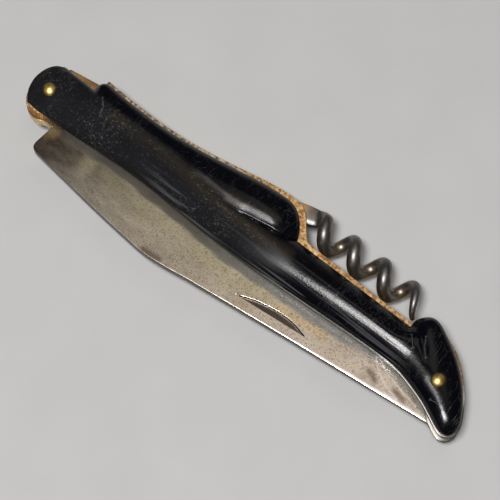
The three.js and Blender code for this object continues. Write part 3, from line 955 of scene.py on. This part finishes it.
def horn_paint():
    """Black horn, polished, with fine scratches and specks, brown on its worn ridges and a brown sheen
    painted on the lobe, and pale painted highlights on its filed ripples and along the heel's edge.
    """
    p = Paint("black_horn")
    worn_and_sheen = p.attribute("worn_and_sheen")
    cloud = p.ramp(p.noise(110, 4, 0.6, (0.3, 1, 1)), 0.42, 0.72)
    black = p.mix(cloud, (0.001, 0.0013, 0.003, 1), (0.0025, 0.0025, 0.004, 1))
    # Brown on the worn ridges, and a painted brown sheen on the lobe's band
    brown = p.math("MULTIPLY", worn_and_sheen, p.ramp(p.noise(300, 4, 0.6, (0.25, 1, 1)), 0.35, 0.7, 0.25, 1.0))
    color = p.mix(brown, black, (0.03, 0.022, 0.013, 1))
    fine = p.scratches(900, 0.06, 0.15, 0.004, 0.014)
    cross = p.scratches(650, 0.1, -1.0, 0.002, 0.008, 0.3)
    lines = p.math("MAXIMUM", fine, p.math("MULTIPLY", cross, 0.7))
    patchy = p.ramp(p.noise(150, 3, 0.5), 0.4, 0.65)
    lines = p.math("MULTIPLY", lines, patchy)
    specks = p.ramp(p.noise(2900, 3, 0.6, (0.5, 1, 1)), 0.58, 0.7)
    rubbed = p.math("ADD", worn_and_sheen, p.math("MULTIPLY", p.attribute("thigh"), 0.7))
    specks = p.math("MULTIPLY", specks, p.math("MULTIPLY", p.math("ADD", patchy, 0.3), rubbed))
    color = p.mix(p.math("MULTIPLY", specks, 0.75), color, (0.12, 0.117, 0.114, 1))
    # Pale lines: fine and deep scratches, and a painted highlight along the heel's carved edge
    marks = p.math("MAXIMUM", p.math("MULTIPLY", lines, 0.22), p.attribute("mark"))
    color = p.mix(marks, color, (0.16, 0.155, 0.15, 1))
    rough = p.ramp(p.noise(380, 5, 0.7, (0.12, 1, 1)), 0.32, 0.7, 0.13, 0.25)
    rough = p.math("ADD", rough, p.math("MULTIPLY", worn_and_sheen, 0.1))
    rough = p.math("ADD", rough, p.math("MULTIPLY", lines, 0.12))
    rough = p.math("ADD", rough, p.math("MULTIPLY", p.attribute("thigh"), 0.65))
    # Paler colour on the crests of the filed ripples: painted highlights
    ripples = p.noise(1900, 1, 0.5, (0.02, 1, 1))
    ripple_highlights = p.math("MULTIPLY", p.ramp(ripples, 0.54, 0.62), p.attribute("filed"))
    color = p.mix(p.math("MULTIPLY", ripple_highlights, 0.7), color, (0.10, 0.10, 0.105, 1))
    grain = p.bump(p.noise(2300, 3, 0.6, (0.5, 1, 1)), 0.5, 0.03)
    grain = p.bump(p.math("MULTIPLY", p.attribute("filed"), ripples), 0.6, 0.08, grain)
    normal = p.bump(lines, -0.5, 0.02, grain)
    return p.finish(color, rough, 0.0, normal, **{"Specular IOR Level": 0.28})


def liner_paint():
    """Orange brass on the back. Grimy and painted in shade along the blade's side, with a pale painted
    highlight on its edge towards the tail.
    """
    p = Paint("liner_brass")
    cloud = p.ramp(p.noise(500, 4, 0.6), 0.35, 0.7)
    mottle = p.ramp(p.noise(1000, 4, 0.7), 0.42, 0.58)
    brass = p.mix(mottle, (0.48, 0.22, 0.08, 1), (0.95, 0.66, 0.33, 1))
    dull = p.mix(mottle, (0.24, 0.14, 0.08, 1), (0.85, 0.68, 0.48, 1))
    brass = p.mix(p.attribute("dull"), brass, dull)
    # Dark grey along the blade's side: grime and painted shade
    grime_and_shade = p.mix(cloud, (0.05, 0.045, 0.04, 1), (0.15, 0.135, 0.12, 1))
    # Pale grey on the liner's edge towards the tail: a painted highlight
    pale = p.mix(cloud, (0.55, 0.52, 0.47, 1), (0.72, 0.69, 0.65, 1))
    color = p.mix(p.attribute("gold"), grime_and_shade, brass)
    color = p.mix(p.attribute("pale"), color, pale)
    dirt = p.ramp(p.noise(1500, 3, 0.6), 0.53, 0.62)
    dirt = p.math("MULTIPLY", dirt, p.math("SUBTRACT", 0.7, p.attribute("pale")))
    color = p.mix(dirt, color, (0.09, 0.045, 0.025, 1))
    # The upright wall on the blade's side painted near black: painted shade
    color = p.mix(p.attribute("wall"), color, (0.02, 0.018, 0.016, 1))
    rough = p.ramp(p.noise(900, 3, 0.6), 0.3, 0.7, 0.34, 0.55)
    normal = p.bump(p.noise(2200, 3, 0.6), 0.35, 0.02)
    return p.finish(color, rough, 0.85, normal)


def blade_paint():
    """Carbon steel, polished long ago: brown at its root, olive and then pinkish along the blade."""
    p = Paint("blade_steel")
    cloud = p.ramp(p.noise(200, 5, 0.62, (0.6, 1, 1)), 0.35, 0.68)
    olive = p.mix(cloud, (0.60, 0.54, 0.39, 1), (0.74, 0.68, 0.52, 1))
    pink = p.mix(cloud, (0.68, 0.59, 0.52, 1), (0.85, 0.77, 0.69, 1))
    color = p.mix(p.attribute("tip"), olive, pink)
    brown = p.mix(cloud, (0.15, 0.12, 0.09, 1), (0.26, 0.21, 0.165, 1))
    color = p.mix(p.attribute("root"), color, brown)
    # Golden glow: painted reflection
    color = p.mix(p.attribute("gold"), color, (0.92, 0.64, 0.31, 1))
    # The handle's dark reflection painted beside it, darker towards the nose
    handle_reflection = p.mix(p.attribute("handle_reflection_darkness"), (0.34, 0.335, 0.32, 1), (0.10, 0.095, 0.085, 1))
    color = p.mix(p.attribute("handle_reflection"), color, handle_reflection)
    fleck = p.ramp(p.noise(2500, 4, 0.7), 0.51, 0.64)
    color = p.mix(p.math("MULTIPLY", fleck, 0.65), color, (0.14, 0.11, 0.08, 1))
    stain = p.ramp(p.noise(430, 4, 0.6, (1, 1, 1), 0.4, 0.1), 0.58, 0.74)
    stain = p.math("MAXIMUM", p.math("MULTIPLY", stain, 0.35), p.attribute("stain"))
    color = p.mix(stain, color, (0.13, 0.075, 0.05, 1))
    rough = p.ramp(p.noise(600, 4, 0.65, (0.35, 1, 1)), 0.3, 0.7, 0.22, 0.32)
    rough = p.math("ADD", rough, p.math("MULTIPLY", fleck, 0.1))
    rough = p.math("ADD", rough, p.math("MULTIPLY", p.attribute("nick"), 0.12))
    # Dark inside the nail nick: painted shade in the recess
    color = p.mix(p.attribute("nick"), color, (0.075, 0.06, 0.05, 1))
    color = p.mix(p.attribute("mark"), color, (1.0, 0.97, 0.93, 1))
    # The spine's upright wall painted dark: painted shade, with some tarnish
    color = p.mix(p.attribute("wall"), color, (0.06, 0.05, 0.045, 1))
    rough = p.math("ADD", rough, p.math("MULTIPLY", p.attribute("handle_reflection"), 0.22))
    grain = p.bump(p.noise(3200, 3, 0.6), 0.3, 0.02)
    fine = p.scratches(700, 0.12, -0.9, 0.003, 0.01, 0.2)
    return p.finish(color, rough, 1.0, p.bump(fine, -0.25, 0.01, grain))


def wire_paint():
    """Dark polished steel, browned and golden in its hollows and by the handle."""
    p = Paint("corkscrew_steel")
    cloud = p.ramp(p.noise(260, 5, 0.62, (0.7, 1, 1), 0.0, 0.7), 0.35, 0.68)
    color = p.mix(cloud, (0.15, 0.145, 0.14, 1), (0.30, 0.285, 0.27, 1))
    stain = p.ramp(p.noise(420, 4, 0.6, (1, 1, 1), 0.4, 0.8), 0.52, 0.7)
    color = p.mix(p.math("MULTIPLY", stain, 0.5), color, (0.26, 0.17, 0.1, 1))
    color = p.mix(p.attribute("low"), color, (0.5, 0.37, 0.22, 1))
    color = p.mix(p.attribute("root"), color, (0.62, 0.37, 0.15, 1))
    rough = p.ramp(p.noise(600, 4, 0.65), 0.3, 0.7, 0.36, 0.5)
    rough = p.math("ADD", rough, p.math("MULTIPLY", p.attribute("root"), 0.25))
    return p.finish(color, rough, 1.0, p.bump(p.noise(2600, 3, 0.6), 0.25, 0.02))


def spring_paint():
    """Steel with an orange varnish of old oil."""
    p = Paint("spring_steel")
    cloud = p.ramp(p.noise(260, 5, 0.62, (0.5, 1, 1), 0.0, 0.4), 0.35, 0.68)
    color = p.mix(cloud, (0.50, 0.27, 0.10, 1), (0.80, 0.48, 0.21, 1))
    rough = p.ramp(p.noise(600, 4, 0.65), 0.3, 0.7, 0.28, 0.45)
    return p.finish(color, rough, 1.0, p.bump(p.noise(2000, 3, 0.6), 0.2, 0.02))


def rivet_paint():
    """Golden brass, polished by the hand, with a painted dark reflection at its rim."""
    p = Paint("rivet_brass")
    cloud = p.ramp(p.noise(900, 3, 0.6), 0.35, 0.7)
    color = p.mix(cloud, (0.72, 0.48, 0.15, 1), (0.88, 0.66, 0.28, 1))
    # Darker towards the rim: a painted dark reflection on the dome's steep edge
    color = p.mix(p.attribute("rim"), color, (0.10, 0.075, 0.025, 1))
    rough = p.ramp(p.noise(1500, 3, 0.6), 0.3, 0.7, 0.36, 0.5)
    return p.finish(color, rough, 1.0, p.bump(p.noise(2500, 2, 0.5), 0.12, 0.02))


def floor_paint():
    """Plain pale grey."""
    p = Paint("pale_floor")
    color = p.mix(p.noise(60, 3, 0.5), (0.50, 0.495, 0.49, 1), (0.56, 0.555, 0.55, 1))
    return p.finish(color, 0.8, 0.0, None)


# ---------------------------------------------------------------- the scene


def add_floor():
    """A plain floor, six metres square."""
    half = 3.0
    mesh = bpy.data.meshes.new("floor")
    square = [(-half, -half, 0), (half, -half, 0), (half, half, 0), (-half, half, 0)]
    mesh.from_pydata(square, [], [(0, 1, 2, 3)])
    floor = bpy.data.objects.new("floor", mesh)
    bpy.context.scene.collection.objects.link(floor)
    mesh.materials.append(floor_paint())


def add_camera():
    """The photo's view: from high above the blade's side, with the knife running down to the right."""
    data = bpy.data.cameras.new("camera")
    data.lens = CAMERA_LENS
    data.sensor_width = 36.0
    data.clip_start, data.clip_end = 0.01, 20.0
    camera = bpy.data.objects.new("camera", data)
    bpy.context.scene.collection.objects.link(camera)
    place, aim = Vector(to_row([CAMERA_PLACE])[0]), Vector(to_row([CAMERA_AIM])[0])
    back = (place - aim).normalized()
    right = Vector(CAMERA_RIGHT)
    right = (right - back * right.dot(back)).normalized()
    up = back.cross(right)
    turn = Matrix((right, up, back)).transposed()
    camera.matrix_world = Matrix.Translation(place) @ turn.to_4x4()
    bpy.context.scene.camera = camera


def add_light(name, direction, reach, size, power, color):
    """A square area light that faces the knife from a direction."""
    data = bpy.data.lights.new(name, "AREA")
    data.shape = "SQUARE"
    data.size = size
    data.energy = power
    data.color = color
    light = bpy.data.objects.new(name, data)
    bpy.context.scene.collection.objects.link(light)
    away = Vector(direction).normalized()
    light.location = away * reach
    light.rotation_euler = away.to_track_quat("Z", "Y").to_euler()


def add_lights():
    """A small key light, a weaker one beside the camera, and a wide warm panel over the back."""
    add_light("key", (0.0, -0.28, 0.96), 0.9, 0.18, 5.7, (1.0, 0.98, 0.96))
    add_light("camera_side", (0.17, -0.28, 0.94), 0.9, 0.2, 2.2, (0.96, 0.98, 1.0))
    add_light("warm_panel", (-0.05, 0.45, 0.89), 1.1, 0.55, 0.68, (1.0, 0.9, 0.76))
    world = bpy.data.worlds.new("studio")
    bpy.context.scene.world = world
    world.use_nodes = True
    background = world.node_tree.nodes["Background"]
    background.inputs["Color"].default_value = (0.05, 0.05, 0.055, 1)
    background.inputs["Strength"].default_value = 1.0


def build():
    """Every piece of the knife, each in place of its CAD node."""
    horn = Horn()
    scale = horn_mesh(horn)
    zones = horn_zones(horn, scale[0])
    make_both_sides("horn", "scale", scale, horn_paint(), 60, zones)

    rivet_clear, hidden_clear = RIVET_RADIUS + HOLE_CLEARANCE, HIDDEN_PIN_RADIUS + HOLE_CLEARANCE
    liner_loops = [
        outline(LINER_OUTLINE),
        hole(BLADE_PIVOT, rivet_clear),
        hole(TAIL_PIN, rivet_clear),
        hole(CORKSCREW_PIVOT, hidden_clear),
        hole(SPRING_PIN, hidden_clear),
    ]
    liner = plate(liner_loops, FRONT_LINER_Z, LINER_THICKNESS, LINER_EDGE)
    zones = liner_zones(liner[0], liner_loops[0])
    make_both_sides("liner_plate", "liner", liner, liner_paint(), 38, zones)

    spring_loops = [outline(SPRING_OUTLINE), hole(TAIL_PIN, rivet_clear), hole(SPRING_PIN, hidden_clear)]
    spring = plate(spring_loops, MIDDLE_Z - SPRING_THICKNESS / 2, SPRING_THICKNESS, SPRING_EDGE)
    spring_steel = spring_paint()
    make_piece("spring_strip", spring, spring_steel, "handle", "back_spring")

    blade = blade_mesh()
    zones = blade_zones(horn, blade[0], outline(BLADE_OUTLINE))
    make_piece("ground_blade", blade, blade_paint(), "blade", "blade", 30, zones)

    corkscrew = corkscrew_mesh()
    make_piece(
        "forged_corkscrew", corkscrew, wire_paint(), "corkscrew", "corkscrew",
        attributes=corkscrew_zones(corkscrew[0]),
    )

    rivet_brass = rivet_paint()
    for name, node, place in (
        ("pivot_rivet", "blade_pivot_pin", BLADE_PIVOT),
        ("tail_rivet", "tail_pin", TAIL_PIN),
    ):
        seat = float(horn.height(np.array([place]))[0])
        rivet = rivet_mesh(place, seat)
        zones = rivet_zones(rivet[0], place)
        make_piece(name, rivet, rivet_brass, "handle", node, attributes=zones)
    for name, node, place in (
        ("corkscrew_axle", "corkscrew_pivot_pin", CORKSCREW_PIVOT),
        ("spring_rivet", "spring_pin", SPRING_PIN),
    ):
        make_piece(name, hidden_pin_mesh(place), spring_steel, "handle", node)


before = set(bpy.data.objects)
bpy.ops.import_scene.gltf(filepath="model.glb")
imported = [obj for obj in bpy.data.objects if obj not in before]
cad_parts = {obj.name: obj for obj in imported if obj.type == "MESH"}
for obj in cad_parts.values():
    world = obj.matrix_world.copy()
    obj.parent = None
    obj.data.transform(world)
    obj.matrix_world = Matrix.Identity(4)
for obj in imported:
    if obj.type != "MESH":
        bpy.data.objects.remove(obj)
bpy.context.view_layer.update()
pin_boxes = [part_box("blade_pivot_pin"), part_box("tail_pin")]
pin_middle = sum(((low + high) / 2 for low, high in pin_boxes), Vector()) / 2
SHIFT = np.array([
    pin_middle.x / MM - (BLADE_PIVOT[0] + TAIL_PIN[0]) / 2,
    pin_middle.y / MM - (BLADE_PIVOT[1] + TAIL_PIN[1]) / 2,
    0.0,
])

bpy.context.scene.view_settings.view_transform = "Standard"
add_camera()
build()
add_floor()
add_lights()
